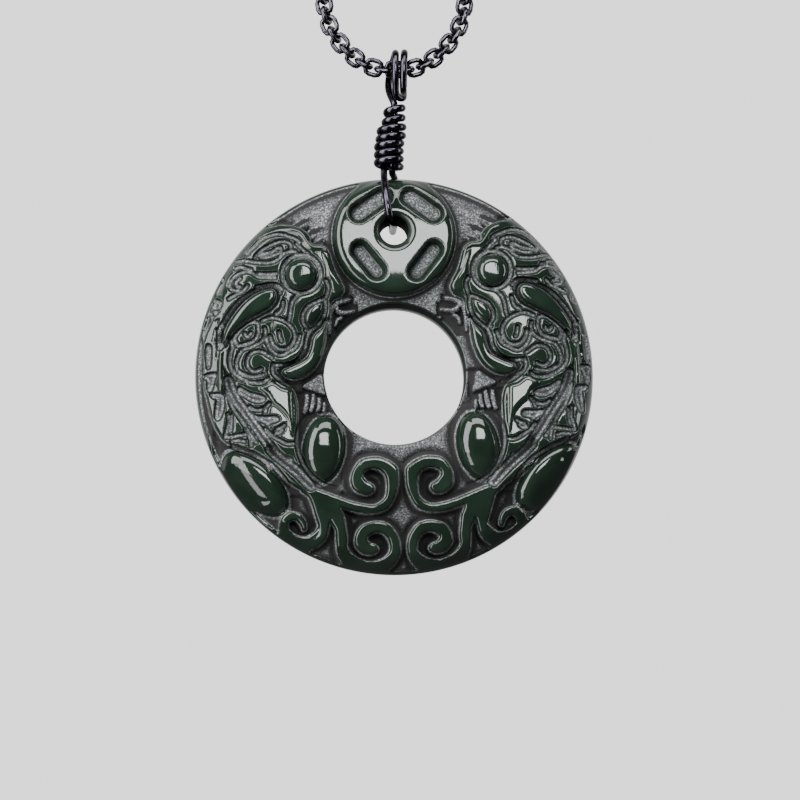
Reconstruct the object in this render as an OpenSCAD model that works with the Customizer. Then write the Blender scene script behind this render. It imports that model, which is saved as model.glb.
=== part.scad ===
// Carved stone ring pendant with a pair of mirrored beasts and a coin,
// hung by a wrapped wire bail on a loop of fine chain.
// Origin: the middle of the chain where it lies on the back of the neck.
// X to the wearer's left as seen from the front, Y to the back, Z up.

/* [Stone] */
// Outer diameter of the stone ring
disc_d = 50; // [49.6:0.1:50.4]
// Diameter of the centre hole
centre_hole_d = 17.7; // [17.3:0.1:18]
// Height of the carved front above the middle of the stone, at its highest
front_h = 5.3; // [5.1:0.05:5.5]
// How deep the matt ground lies below the carved front
ground_depth = 1.5; // [1.2:0.1:1.7]
// How deep the plain body of each beast lies below the carved front
body_depth = 0.5; // [0.3:0.1:0.6]

/* [Hanging hole] */
// Diameter of the hole the wire ring passes through
hang_hole_d = 3.6; // [3.4:0.1:3.8]
// Diameter of its eased mouth, at each face
hang_mouth_d = 5.5; // [5.2:0.1:5.8]
// Height of this hole above the centre of the stone
hang_z = 17.9; // [17.8:0.05:18]

/* [Coin] */
// Diameter of the raised coin
coin_d = 15; // [14.6:0.1:15.2]
// Depth of the four slots in the coin
slot_depth = 1.1; // [0.8:0.1:1.3]

/* [Wire] */
// Thickness of the bail's wire
wire_d = 0.9; // [0.84:0.01:0.92]

/* [Chain] */
// Thickness of the chain
chain_d = 2.3; // [2.1:0.1:2.4]
// Diameter of the clasp
clasp_d = 4; // [3:0.5:5]
// Length of the clasp
clasp_len = 12; // [10:1:14]

/* [Hidden] */
$fn = 64;

// The chain's lowest point and the stone's centre, below the origin
chain_drop = 248.5;
disc_below_chain = 39.1;
disc_z = -chain_drop - disc_below_chain;

stone = [0.14, 0.22, 0.17];
gunmetal = [0.24, 0.24, 0.27];

// Shape of the stone in section: r is the distance from the ring's centre,
// h the height towards the front. The front and back are arcs that meet
// a rim circle smoothly.
crest_r = 15;
front_arc = 25;
back_arc = 60;
rim_r = 4.7;
rim_at = disc_d / 2 - rim_r;
rim_h = front_h - front_arc + sqrt(pow(front_arc - rim_r, 2) - pow(rim_at - crest_r, 2));
back_h = rim_h + sqrt(pow(back_arc - rim_r, 2) - pow(rim_at - crest_r, 2));
// Where the front arc meets the rim circle
meet_r = rim_at + rim_r * (rim_at - crest_r) / (front_arc - rim_r);
// Thickness of the blank the stone is cut from
blank_h = 12;

// Height of the carved front at a distance r from the ring's centre
function front_at(r) =
    r < meet_r
        ? front_h - front_arc + sqrt(pow(front_arc, 2) - pow(r - crest_r, 2))
        : rim_h + sqrt(pow(rim_r, 2) - pow(r - rim_at, 2));

// Smooth curve through the rows of a table: each row is [u, v] or [u, v, width]
function spline_at(a, b, c, d, t) =
    ((2 * b) + (c - a) * t + (2 * a - 5 * b + 4 * c - d) * t * t
        + (3 * b - a - 3 * c + d) * t * t * t) / 2;
function open_curve(p, steps) = [
    for (i = [0:len(p) - 2], k = [0:steps - 1])
        spline_at(p[max(i - 1, 0)], p[i], p[i + 1], p[min(i + 2, len(p) - 1)], k / steps),
    p[len(p) - 1]
];
function closed_curve(p, steps) = let (n = len(p)) [
    for (i = [0:n - 1], k = [0:steps - 1])
        spline_at(p[(i + n - 1) % n], p[i], p[(i + 1) % n], p[(i + 2) % n], k / steps)
];

// Unit vector across a path in the plane at its point i
function across(p, i) =
    let (a = p[max(i - 1, 0)], b = p[min(i + 1, len(p) - 1)], d = [b[0] - a[0], b[1] - a[1]])
    [-d[1], d[0]] / norm(d);

// A raised band along a path whose rows are [u, v, width], with a pointed or square end
module band(rows, steps = 2) {
    c = open_curve(rows, steps);
    left = [for (i = [0:len(c) - 1]) [c[i][0], c[i][1]] + across(c, i) * c[i][2] / 2];
    right = [for (i = [len(c) - 1:-1:0]) [c[i][0], c[i][1]] - across(c, i) * c[i][2] / 2];
    polygon(concat(left, right));
}

module patch(rows, steps = 2) {
    polygon(closed_curve(rows, steps));
}

// The carving was cut a little off the stone's centre line: its axis of symmetry passes
// this far to the right of the centre, and leans this many degrees to the left.
axis_shift = 0.55;
axis_lean = 1.47;

// Outlines of the left beast, u outwards from the middle and v up, from the centre of the
// stone. The right one is its mirror image.
head_outline = [
    [21.6, 9.4], [20.9, 12], [19.4, 14.8], [17.6, 17], [15.6, 18.3], [13.6, 18.6],
    [12, 18.1], [10.9, 17.2], [10.2, 16], [8.9, 15.4], [8.3, 14.2], [7.4, 12.3],
    [6.5, 10.7], [6.8, 9.7], [8, 9], [8.2, 7.6], [8.3, 6], [8.8, 4], [9.6, 2],
    [11, 0.3], [12.8, -0.8], [14.8, -1], [16.6, -1.5], [18.6, -1.3], [20.4, -0.5],
    [21.3, 1], [21.5, 3.6], [21.9, 6.4]
];
body_outline = [
    [16.4, -1], [14.8, -0.9], [13, -2], [12.3, -3.6], [12.2, -6], [12.2, -9],
    [11.6, -11.6], [10.4, -13.8], [9.4, -15.2], [10.6, -16.2], [12.4, -14.8],
    [14.6, -12.4], [17, -10.6], [19, -9.6], [20.8, -8.8], [21.8, -6.8], [22.7, -4],
    [23.1, -1], [23, 2.4], [22.2, 5], [21, 4.4], [19, 2]
];
mane_lock = [
    [14.7, 9.4], [15, 10.4], [16.6, 10.4], [18.2, 9.7], [19.6, 8.5], [20.6, 6.8],
    [21.3, 4.6], [21.2, 3.2], [20.4, 5], [18.8, 6.1], [17, 7.1], [15.4, 8.2]
];
jaw = [
    [8.7, 6.1], [9.5, 5.2], [10.2, 4.4], [10.4, 3.1], [11.2, 1.8], [12.4, 1],
    [14, 0.3], [13.7, -0.3], [12.2, -0.6], [10.8, 0.2], [9.6, 1.7], [9, 3.4]
];
nose = [
    [9.1, 15.1], [8.4, 13.9], [7.4, 12.2], [6.6, 10.9], [6.7, 10.1], [7.6, 9.9],
    [8, 11], [8.5, 12.4], [8.8, 13.6]
];
shoulder = [
    [16.8, -1.9], [15.2, -1.3], [13.4, -2.3], [12.6, -3.6], [12.5, -6], [12.6, -8.4],
    [13.2, -6.6], [13.9, -5.2], [15, -4.2], [15.8, -3]
];
// Rows of u, v and width
brow_ridge = [
    [20.6, 11.2, 0.5], [19.6, 13.6, 0.8], [17.8, 16, 0.8], [15.8, 17.8, 0.8],
    [13.6, 18.2, 0.8], [11.8, 17.4, 0.9], [11, 16.2, 0.8], [9.8, 15.6, 0.6]
];
upper_curl = [
    [19.2, 3.2, 0.4], [17.2, 3.8, 0.7], [16.3, 5.2, 0.9], [15, 5.7, 1],
    [13.8, 4.9, 0.9], [13.9, 3.7, 0.7], [14.8, 3.4, 0.4]
];
lower_curl = [
    [12, 4.6, 0.5], [12.4, 2.9, 0.7], [14, 1.8, 0.9], [15.6, 1.6, 0.7], [16.2, 0.2, 0.7],
    [17.6, -0.3, 0.8], [19.2, 0.6, 0.8], [19.2, 2.2, 0.8], [17.8, 3, 0.6], [16.4, 2.4, 0.5]
];
curl_eye = [
    [16.9, 0.4, 0.5], [16.3, 1, 0.8], [16.8, 1.6, 0.8], [17.5, 1.3, 0.5]
];
mane_curl = [
    [20.6, 9.5, 0.4], [19.2, 10.4, 0.7], [18.1, 11.2, 0.8], [18.3, 12, 0.8],
    [19.2, 12.1, 0.7], [19.4, 11.4, 0.4]
];
lip = [
    [8.9, 10.7, 0.5], [10.4, 9.8, 0.8], [12, 8.6, 1], [12.4, 6.8, 1], [11.6, 5, 0.8],
    [11.5, 3, 0.7], [12.4, 1.7, 0.5]
];
spine = [
    [20.6, -1.4, 1], [20, -3.6, 1.2], [18.6, -5.8, 1.2], [17, -8, 1.2],
    [14.8, -10.8, 1.2], [12.4, -13, 1.1], [10.6, -14.9, 0.9]
];
rim_feathers = [
    [[22.4, 5.4, 0.3], [22.2, 2.4, 0.7], [21.8, 0, 0.7], [21.9, -2, 0.4]],
    [[22.7, -2.6, 0.4], [22.1, -4, 0.8], [22, -5.6, 0.4]],
    [[21, -3.4, 0.3], [20.7, -4.6, 0.6], [20.4, -5.4, 0.3]],
    [[20.8, -5.4, 0.4], [20.5, -6.6, 0.7], [20.6, -7.8, 0.4]]
];
// The stem forks into the tail's two curls and a small outer curl
stem = [
    [13.6, -11.6, 0.5], [12, -13.6, 0.8], [10.4, -15.2, 1.2], [9.6, -17, 1.4],
    [9, -19, 1], [9, -20.2, 0.8], [9.9, -21.2, 0.7], [11.4, -21.3, 0.8],
    [12.9, -20.5, 0.9], [13.3, -19.2, 1.1], [12.5, -18.5, 1], [11.5, -19.1, 0.5]
];
tail_upper = [
    [10.4, -15.3, 0.8], [8.4, -15.9, 1], [6, -16.8, 0.9], [3.2, -17.1, 0.6],
    [1.3, -16.4, 0.8], [0.4, -15, 1], [0.4, -13.2, 1.1], [1, -11.8, 1.1],
    [2.6, -11.2, 0.9], [4.1, -11.8, 1], [4.7, -13.2, 0.9], [4.2, -14.5, 0.9],
    [3, -14.7, 0.5]
];
tail_lower = [
    [9.2, -16.4, 1], [7.6, -17.4, 1.2], [6.7, -19.2, 0.8], [6.5, -21, 0.8],
    [6.1, -22.5, 1], [4.8, -23.6, 1], [2.8, -24, 0.9], [0.8, -23.2, 1],
    [-0.1, -21.6, 0.9], [0.4, -19.9, 0.9], [1.8, -19.1, 0.8], [3.4, -19.4, 1],
    [4.2, -20.8, 1.2], [3.4, -21.9, 1.2], [2.4, -21.9, 0.4]
];

// The rounded haunches: centre as u and v, half length, half width and slant
haunches = [[8.8, -9.5, 4.1, 2.5, -8], [17.3, -13.7, 4.9, 2.5, -46]];
// How far they rise above the plain front, and how high each one's dome is
haunch_rise = 0.2;
haunch_dome = 3.4;
// The eyes, which end just below the plain front
eye_at = [11.65, 12.35];
eye_r = 2.1;
eye_depth = 0.1;
coin_v = 17.3;

// How far the cutters of the hanging hole's mouths run past the faces
cutter_over = 0.6;

// The four slots of the coin: inner end, outer end and half width, as [u, v, u, v, half width]
coin_slots = [
    [-2, 22, -4.8, 20.2, 1.45],
    [2, 22.2, 4.8, 20.3, 1.45],
    [-2.5, 12.7, -4.6, 15.4, 1.3],
    [2.7, 12.7, 4.6, 15.4, 1.3]
];

// Puts what is drawn flat, u by v with its height to the front, where the stone hangs
module on_stone() {
    translate([0, 0, disc_z]) rotate([90, 0, 0]) children();
}

// The full round of the stone with its front lowered by a depth
module round_stone(depth) {
    rotate_extrude() intersection() {
        union() {
            translate([rim_at, rim_h]) circle(rim_r);
            translate([centre_hole_d / 2, rim_h - blank_h / 2])
                square([rim_at - centre_hole_d / 2, blank_h]);
        }
        translate([crest_r, front_h - depth - front_arc]) circle(front_arc);
        translate([crest_r, back_h]) circle(back_arc);
    }
}

// One beast on the left, and its mirror image about the carving's own axis
module both_sides() {
    mirror([1, 0, 0]) children();
    translate([axis_shift, 0, 0]) rotate(2 * axis_lean) translate([axis_shift, 0, 0]) children();
}

// Flat outline of everything that stands above the ground
module low_relief() {
    both_sides() {
        patch(head_outline, 1);
        patch(body_outline, 1);
        band(spine, 1);
    }
}

// Flat outline of what stands highest
module high_relief() {
    both_sides() {
        for (p = [mane_lock, jaw, nose, shoulder]) patch(p);
        for (b = [brow_ridge, upper_curl, lower_curl, curl_eye, mane_curl, lip, spine])
            band(b);
        for (b = rim_feathers) band(b);
        for (b = [stem, tail_upper, tail_lower]) band(b);
    }
}

module relief(depth) {
    intersection() {
        round_stone(depth);
        linear_extrude(blank_h) children();
    }
}

// A rounded oval with steep sides
module haunch(u, v, half_len, half_wid, slant) {
    foot = front_at(norm([u, v])) - haunch_dome + haunch_rise;
    translate([u, v, foot]) rotate([0, 0, slant])
        scale([half_wid, half_len, haunch_dome]) sphere(1);
}

module coin_slot(row) {
    a = [row[0], row[1]];
    b = [row[2], row[3]];
    way = atan2(b[1] - a[1], b[0] - a[0]);
    floor_h = front_at(norm((a + b) / 2)) - slot_depth;
    translate([0, 0, floor_h]) linear_extrude(blank_h) {
        translate(a) circle(row[4]);
        translate(b) circle(row[4]);
        translate(a) rotate(way) translate([0, -row[4]]) square([norm(b - a), 2 * row[4]]);
    }
}

module disc() {
    hole_r = hang_hole_d / 2;
    mouth_r = hang_mouth_d / 2;
    ease = mouth_r - hole_r;
    hole_front = front_at(hang_z);
    hole_back = back_h - back_arc;
    color(stone) on_stone() difference() {
        union() {
            round_stone(ground_depth);
            relief(body_depth) low_relief();
            relief(0) high_relief();
            relief(0) translate([0, coin_v]) circle(coin_d / 2);
            relief(eye_depth) both_sides() translate(eye_at) circle(eye_r);
            intersection() {
                round_stone(-haunch_rise);
                both_sides() for (h = haunches) haunch(h[0], h[1], h[2], h[3], h[4]);
            }
        }
        translate([0, hang_z, -blank_h]) cylinder(r = hole_r, h = 2 * blank_h);
        translate([0, hang_z, hole_front - ease])
            cylinder(r1 = hole_r, r2 = mouth_r + cutter_over, h = ease + cutter_over);
        translate([0, hang_z, hole_back - cutter_over])
            cylinder(r1 = mouth_r + cutter_over, r2 = hole_r, h = ease + cutter_over);
        for (row = coin_slots) coin_slot(row);
    }
}

// The chain's route: half of the loop, as x and the height above its lowest point.
// Its lower end is a narrow U over the bail, and it widens evenly to lie round a neck.
half_route = [
    [0, 0], [2.2, 0.1], [4.3, 1], [6.2, 2.6], [7.6, 4.4], [8.5, 6.4], [9, 9],
    [9.3, 13], [10, 18], [11.5, 25], [14, 33.5], [17.5, 44], [22, 57], [27.5, 72],
    [33.5, 88], [40, 105], [46.5, 123], [52.5, 142], [57.5, 161], [60.8, 179],
    [61.8, 193], [60, 207], [55.5, 220], [48, 231.5], [38, 240], [26, 245.5],
    [14, 248], [6.1, 248.5]
];
chain_sides = 8;
// Share of the clasp's length that is straight, between its two cones
clasp_straight = 0.7;

// The bail's single wire as [x, y, z], z above the stone's centre: down inside the
// wraps, over the rim and down the front, through the hole, up the back, through
// the wraps as their core, and then twice over the chain.
bail_route = [
    [-0.83, 0, 31.2], [-0.94, 0, 30.35], [-1.17, 0, 29.38], [-1.18, 0, 28.38],
    [-1.18, -0.02, 27.35], [-1.24, -0.2, 26.7], [-1.32, -0.65, 26.15], [-1.36, -1.35, 25.85],
    [-1.38, -2.2, 25.55], [-1.38, -3, 25.05], [-1.35, -3.7, 24.4], [-1.28, -4.4, 23.5],
    [-1.18, -5.1, 22.4], [-1.05, -5.5, 21.4], [-0.9, -5.65, 20.5], [-0.7, -5.4, 19.6],
    [-0.4, -4.4, 19.02], [-0.2, -2.8, 18.9], [-0.1, 0, 18.9], [-0.1, 2.8, 18.9],
    [-0.12, 4.3, 18.98], [-0.15, 5.35, 19.6], [-0.15, 5.75, 20.5], [-0.1, 5.8, 21.6],
    [0, 5.3, 22.9], [0.12, 4.5, 24], [0.2, 3.6, 24.85], [0.12, 2.6, 25.4],
    [-0.08, 1.6, 25.75], [-0.25, 0.8, 25.95], [-0.26, 0.3, 26.3], [-0.24, 0.05, 26.8],
    [-0.22, 0, 27.37], [-0.22, 0, 28.38], [-0.19, 0, 29.38], [0.04, 0, 30.35],
    [0.15, 0, 31.4], [0.06, 0, 32.1], [0, 0, 32.8], [0, 0, 34.4],
    [-0.12, 0.25, 35], [-0.42, 0.85, 35.8], [-0.68, 1.45, 36.7], [-0.72, 1.8, 37.7],
    [-0.58, 1.92, 38.7], [-0.35, 1.8, 39.8], [-0.1, 1.4, 40.6], [0.05, 0.7, 41.1],
    [0.1, 0, 41.2], [0.12, -0.8, 41], [0.1, -1.5, 40.5], [0.08, -1.85, 39.7],
    [0.08, -1.95, 38.8], [0.1, -1.8, 37.7], [0.12, -1.45, 36.7], [0.16, -1.1, 36],
    [0.34, -0.75, 35.5], [0.75, -0.35, 35.35], [1.08, 0.15, 35.5], [1.18, 0.75, 35.9],
    [1.18, 1.35, 36.6], [1.15, 1.75, 37.6], [1.15, 1.95, 38.7], [1.18, 1.8, 39.8],
    [1.22, 1.35, 40.6], [1.25, 0.7, 41.1], [1.26, 0, 41.25], [1.26, -0.8, 41.05],
    [1.22, -1.5, 40.5], [1.16, -1.85, 39.7], [1.14, -1.95, 38.8], [1.12, -1.85, 37.9],
    [1.12, -1.65, 37.2], [1.12, -1.35, 36.6]
];
wire_sides = 10;

// Each turn of the wrap from the top down, where it crosses the front: height above the
// stone's centre, x and radius. The first and last rows only lead the wire in and out.
wrap_rows = [
    [35.1, 0, 0.97], [33.85, 0, 0.97], [32.6, 0, 0.97], [31.4, -0.33, 1.44],
    [30.35, -0.45, 1.44], [29.38, -0.68, 1.44], [28.38, -0.7, 1.44], [27.37, -0.7, 1.44],
    [26.37, -0.72, 1.46], [25.4, -0.75, 1.46]
];
wrap_wire_r = 0.45;
wrap_sides = 8;
wrap_steps = 16;
// The turns at which the wrap starts behind the neck and ends in front
wrap_from = 0.1875;
wrap_to = 7.4375;

function unit(v) = v / norm(v);
function lead(p, i) = unit(p[min(i + 1, len(p) - 1)] - p[max(i - 1, 0)]);
function square_to(n, t) = unit(n - (n * t) * t);

// Side directions that turn as little as they can along a path
function sides_along(p, start) = [
    for (i = 0, n = square_to(start, lead(p, 0)); i < len(p);
        i = i + 1, n = i < len(p) ? square_to(n, lead(p, i)) : n) n
];

// A round rod of n sides along a path, its ends closed flat
module rod(path, r, n, start) {
    side = sides_along(path, start);
    ring = len(path) - 1;
    points = [
        for (i = [0:ring])
            let (t = lead(path, i), a = side[i], b = cross(t, a))
                for (k = [0:n - 1]) path[i] + r * (cos(360 * k / n) * a + sin(360 * k / n) * b)
    ];
    walls = [
        for (i = [0:ring - 1], k = [0:n - 1])
            let (m = (k + 1) % n) [i * n + k, (i + 1) * n + k, (i + 1) * n + m, i * n + m]
    ];
    near_end = [for (k = [0:n - 1]) k];
    far_end = [for (k = [n - 1:-1:0]) ring * n + k];
    triangles = [for (w = walls) each [[w[0], w[1], w[2]], [w[0], w[2], w[3]]]];
    ends = [for (e = [near_end, far_end], k = [1:n - 2]) [e[0], e[k], e[k + 1]]];
    polyhedron(points, concat(triangles, ends));
}

module bail_wire() {
    color(gunmetal) translate([0, 0, disc_z])
        rod(bail_route, wire_d / 2, wire_sides, [1, 0, 0]);
}

// The wrap's height, x and radius at a turn t, which need not be whole
function wrap_at(t) =
    let (i = floor(t + 0.5))
        wrap_rows[i] + (wrap_rows[i + 1] - wrap_rows[i]) * (t + 0.5 - i);

module wire_wrap() {
    path = [
        for (t = [wrap_from:1 / wrap_steps:wrap_to])
            let (row = wrap_at(t), a = 180 - 360 * t)
                [row[1] + row[2] * sin(a), -row[2] * cos(a), row[0]]
    ];
    color(gunmetal) translate([0, 0, disc_z]) rod(path, wrap_wire_r, wrap_sides, [0, 0, 1]);
}

module chain() {
    right = [for (p = half_route) [p[0], 0, p[1] - chain_drop]];
    left = [for (i = [len(half_route) - 1:-1:1]) [-half_route[i][0], 0, half_route[i][1] - chain_drop]];
    color(gunmetal) rod(concat(left, right), chain_d / 2, chain_sides, [0, 1, 0]);
}

module clasp() {
    body_len = clasp_len * clasp_straight;
    color(gunmetal) rotate([0, 90, 0]) {
        cylinder(d = clasp_d, h = body_len, center = true);
        for (s = [0, 1]) mirror([0, 0, s])
            translate([0, 0, body_len / 2])
                cylinder(d1 = clasp_d, d2 = chain_d, h = (clasp_len - body_len) / 2);
    }
}

disc();
bail_wire();
wire_wrap();
chain();
clasp();
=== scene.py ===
from math import cos, pi, radians, sin, tan

import bpy
import numpy as np
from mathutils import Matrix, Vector


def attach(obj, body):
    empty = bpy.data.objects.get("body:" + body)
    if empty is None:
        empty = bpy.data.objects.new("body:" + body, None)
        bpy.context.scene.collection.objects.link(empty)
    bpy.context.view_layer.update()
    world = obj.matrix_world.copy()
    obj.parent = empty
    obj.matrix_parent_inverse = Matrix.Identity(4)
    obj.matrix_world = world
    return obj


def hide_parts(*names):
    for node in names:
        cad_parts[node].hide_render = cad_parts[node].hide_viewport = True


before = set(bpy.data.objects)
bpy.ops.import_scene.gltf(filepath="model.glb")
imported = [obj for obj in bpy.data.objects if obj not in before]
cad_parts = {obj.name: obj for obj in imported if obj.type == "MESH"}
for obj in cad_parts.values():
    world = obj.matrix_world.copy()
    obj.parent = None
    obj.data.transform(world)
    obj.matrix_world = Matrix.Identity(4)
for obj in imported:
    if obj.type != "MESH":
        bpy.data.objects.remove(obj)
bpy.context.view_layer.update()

# Camera
# 400 mm from the middle of the stone, a little to its left and below it. It aims just
# right of that middle and below it, so that the stone stands a little over the middle.
STONE_MIDDLE = Vector((0, 0, -0.2876))
camera_turn = radians(-1.4)
camera_rise = radians(-5.9)
camera_reach = 0.4
camera_data = bpy.data.cameras.new("camera")
camera_data.sensor_width = 36
camera_data.lens = 143.28
camera_data.clip_start = 0.02
camera = bpy.data.objects.new("camera", camera_data)
camera.location = STONE_MIDDLE + camera_reach * Vector((
    sin(camera_turn) * cos(camera_rise),
    -cos(camera_turn) * cos(camera_rise),
    sin(camera_rise)))
aim = STONE_MIDDLE + Vector((0.00072, 0.00028, -0.00296))
camera.rotation_euler = (aim - camera.location).to_track_quat("-Z", "Y").to_euler()
bpy.context.scene.collection.objects.link(camera)
bpy.context.scene.camera = camera

# Stone ring
# One piece of dark green stone, carved in relief and polished, with the ground between
# the forms left matt from the sandblast. Its outline and its section are the solid's.
STONE_R = 25.0
CENTRE_HOLE_R = 8.85
# The section in millimetres: a broad arc in front and one behind, both furthest out at the
# crest's radius, and a round edge between them
CREST_R, FRONT_H, FRONT_ARC, BACK_ARC, EDGE_R = 15.0, 5.3, 25.0, 60.0, 4.7
EDGE_AT = STONE_R - EDGE_R
EDGE_H = FRONT_H - FRONT_ARC + ((FRONT_ARC - EDGE_R) ** 2 - (EDGE_AT - CREST_R) ** 2) ** 0.5
BACK_H = EDGE_H + ((BACK_ARC - EDGE_R) ** 2 - (EDGE_AT - CREST_R) ** 2) ** 0.5
# How far the open ground lies below the front's plain round
GROUND = -1.6

# The left beast's shapes in millimetres from the middle of the stone, u outwards and
# v up. The right beast is its mirror image about the carving's own leaning axis.
AXIS_SHIFT, AXIS_LEAN = 0.55, radians(1.47)
EYE_U, EYE_V = 11.7, 12.25
SOCKET_R, SOCKET_DEPTH, SOCKET_SOFT = 2.15, 0.9, 0.2
EYE_RING_U, EYE_RING_V, EYE_RING_R = 11.65, 12.35, 2.42

head = [
    (21.6, 9.4), (20.9, 12), (19.4, 14.8), (17.6, 17), (15.6, 18.3), (13.6, 18.5), (12, 18.1),
    (10.9, 17.2), (10.6, 16.2), (9.6, 15.8), (8.5, 15.3), (7.9, 13.6), (7.4, 12.3), (6.5, 10.7),
    (6.8, 9.7), (8, 9), (8.2, 7.6), (8.3, 6), (8.8, 4), (9.6, 2), (11, 0.3), (12.8, -0.8),
    (14.8, -1), (16.6, -1.5), (18.6, -1.3), (20.4, -0.5), (21.3, 1), (21.5, 3.6), (21.9, 6.4)]
body = [
    (16.4, -1), (14.8, -0.9), (13, -2), (12.3, -3.6), (12.2, -6), (12.2, -9), (11.6, -11.6),
    (10.4, -13.8), (9.8, -14.8), (10.8, -14.8), (12.4, -14), (14.6, -12.4), (17, -10.2),
    (19, -9.2), (20.8, -8.6), (21.9, -7.2), (22.7, -5.4), (23.3, -3), (23.75, -1), (23.9, 1.5),
    (23.7, 4.2), (22.8, 6.5), (22.6, 8.5), (22, 9.8), (21.4, 9), (20, 4), (18, 0)]
mane_lock = [
    (14.9, 9.2), (15, 10.1), (15.6, 10.4), (16.8, 10.1), (18.2, 9.2), (19.4, 8), (20.4, 6.6),
    (21.1, 5.2), (21.3, 3.6), (20.8, 4.4), (19.9, 5.5), (18.6, 6.5), (17, 7.4), (15.6, 8.2)]
jaw = [
    (8.6, 6.3), (9, 5.6), (9.6, 5.1), (10.2, 4.3), (10.4, 3.2), (10.8, 2.1), (11.6, 1.4),
    (12.8, 0.8), (13.9, 0.2), (13.7, -0.4), (12.6, -0.8), (11.2, -0.4), (10, 0.6), (9.2, 2),
    (8.7, 3.9)]
nose = [
    (9, 15.2), (8.5, 14.2), (8, 13), (7.4, 12.2), (6.8, 11.3), (6.4, 10.6), (6.6, 9.9),
    (7.4, 9.7), (7.9, 10.2), (8.1, 11.2), (8.5, 12), (8.6, 13.2), (9, 14.4)]
shoulder = [
    (16.9, -2), (15.9, -1.4), (15.1, -1.2), (14, -1.9), (13, -2.3), (12.8, -4), (12.7, -6),
    (12.7, -8.2), (13, -6.8), (13.5, -5.6), (14.4, -4.6), (15.3, -3.9), (16, -2.8)]
tail = [
    (9.6, -14.8), (8.2, -15.3), (6.6, -15.9), (5, -16.4), (3, -16.75), (1.9, -16.5),
    (1, -15.7), (0.75, -14.6), (0.8, -13.2), (1.3, -12.2), (2.2, -11.7), (3.2, -11.7),
    (4, -12.1), (4.25, -12.9), (3.7, -13.7), (3, -14.1), (2.8, -14.5), (3.3, -14.9),
    (4.2, -14.8), (5, -14.2), (5.2, -13.2), (4.9, -12.2), (4.1, -11.1), (3, -10.8),
    (2, -10.8), (1.1, -11.1), (0.3, -11.6), (-0.1, -12.1), (-0.15, -13), (-0.1, -14.2),
    (0.3, -15.4), (0.9, -16.5), (1.8, -17), (3, -17.2), (4.4, -17.1), (6, -16.7),
    (6.8, -16.5), (6.9, -17.2), (6.5, -18.1), (6.3, -19.4), (6.15, -20.6), (6.2, -21.6),
    (5.6, -22.6), (4.6, -23.3), (3.4, -23.7), (2.2, -23.6), (1.1, -23.1), (0.4, -22.3),
    (0.35, -21.2), (0.8, -20.2), (1.6, -19.6), (2.6, -19.6), (3.5, -20.1), (3.7, -20.7),
    (3.3, -21.3), (2.5, -21.6), (2.3, -22), (3.1, -22.3), (4.1, -22), (4.7, -21.2),
    (4.6, -20.2), (4, -19.3), (3, -18.85), (1.9, -18.75), (0.9, -19.1), (0.1, -20),
    (-0.35, -21), (-0.4, -22.2), (0, -23.2), (0.9, -24), (2.2, -24.5), (3.6, -24.5),
    (5, -24.1), (6.1, -23.3), (6.8, -22.2), (7, -20.8), (7.1, -19.5), (7.6, -18.6),
    (8, -17.8), (8.3, -18.6), (8.5, -19.6), (8.8, -20.5), (9.6, -21.2), (10.8, -21.6),
    (12, -21.4), (12.1, -21), (11, -21.1), (9.8, -20.7), (9.2, -20.1), (9.2, -19),
    (9.6, -17.7), (10, -16.4), (10.5, -15.3), (11.4, -14.6), (10.6, -14.6)]
tail_root = [
    (14.4, -11.1), (13.4, -11.9), (12.2, -13.1), (10.9, -14.4), (11.5, -14.3), (12.6, -13.2),
    (13.7, -12.1)]

# Raised forms: outline, how high its top lies over the front's round, width of its soft
# edge, how much it rises for each millimetre down the flank, how far it reaches outside
# its outline and how deep the border round it is cut, which is also painted dark as
# painted shade
plates = [
    (head, -0.25, 0.5, 0, 0.1, 0), (body, -0.45, 0.4, 0.1, 0.1, 0),
    (mane_lock, 0, 0.6, 0, 0, 0.8), (jaw, 0, 0.6, 0, 0, 0.6), (nose, 0, 0.5, 0, 0, 0),
    (shoulder, -0.05, 0.6, 0.1, 0, 0), (tail, -0.1, 0.22, 0, 0.2, 0),
    (tail_root, -0.3, 0.2, 0, 0.1, 0)]

# Raised strips: rows of u, v and width, then top and soft edge
brow = [
    (20.4, 12.2, 0.3), (19.4, 14.8, 0.6), (18, 16.3, 0.7), (16.4, 17.6, 0.7), (14.8, 18.1, 0.7),
    (13.2, 18, 0.7), (11.9, 17.5, 0.7), (11.1, 16.4, 0.6), (10.4, 15.7, 0.6), (9.2, 15.6, 0.5),
    (8.6, 15.2, 0.4)]
rim_feathers = [
    [(21.6, 3.4, 0.5), (21.7, 1.2, 0.55), (21.7, -0.6, 0.6), (21.65, -2.2, 0.75)],
    [(20.9, -3, 0.3), (20.8, -4, 0.6), (20.7, -4.9, 0.8)],
    [(19.85, -5.3, 0.3), (19.8, -6.4, 0.5), (19.75, -7.2, 0.7)],
    [(20.8, 11.4, 0.4), (20.9, 10.8, 0.5), (21, 10.2, 0.4)],
    [(21.3, -6, 0.3), (21.25, -7, 0.3)],
    [(22.6, 6.7, 0.2), (22, 7.2, 0.4), (21.5, 7.6, 0.2)],
    [(22.4, 4.1, 0.2), (22.15, 5.2, 0.3)],
    [(21.3, 10.2, 0.5), (21.05, 11.2, 0.3)]]
haunch_bars = [
    [(10.9, -2.8, 0.35), (10.95, -3.9, 0.5), (11.2, -4.9, 0.4)],
    [(10.1, -2.8, 0.3), (10.15, -3.8, 0.5), (10.4, -4.7, 0.45)],
    [(9.4, -3.2, 0.3), (9.4, -4, 0.45), (9.6, -4.9, 0.4)],
    [(8.8, -3.8, 0.25), (8.75, -4.4, 0.35), (8.9, -5, 0.3)]]
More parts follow.
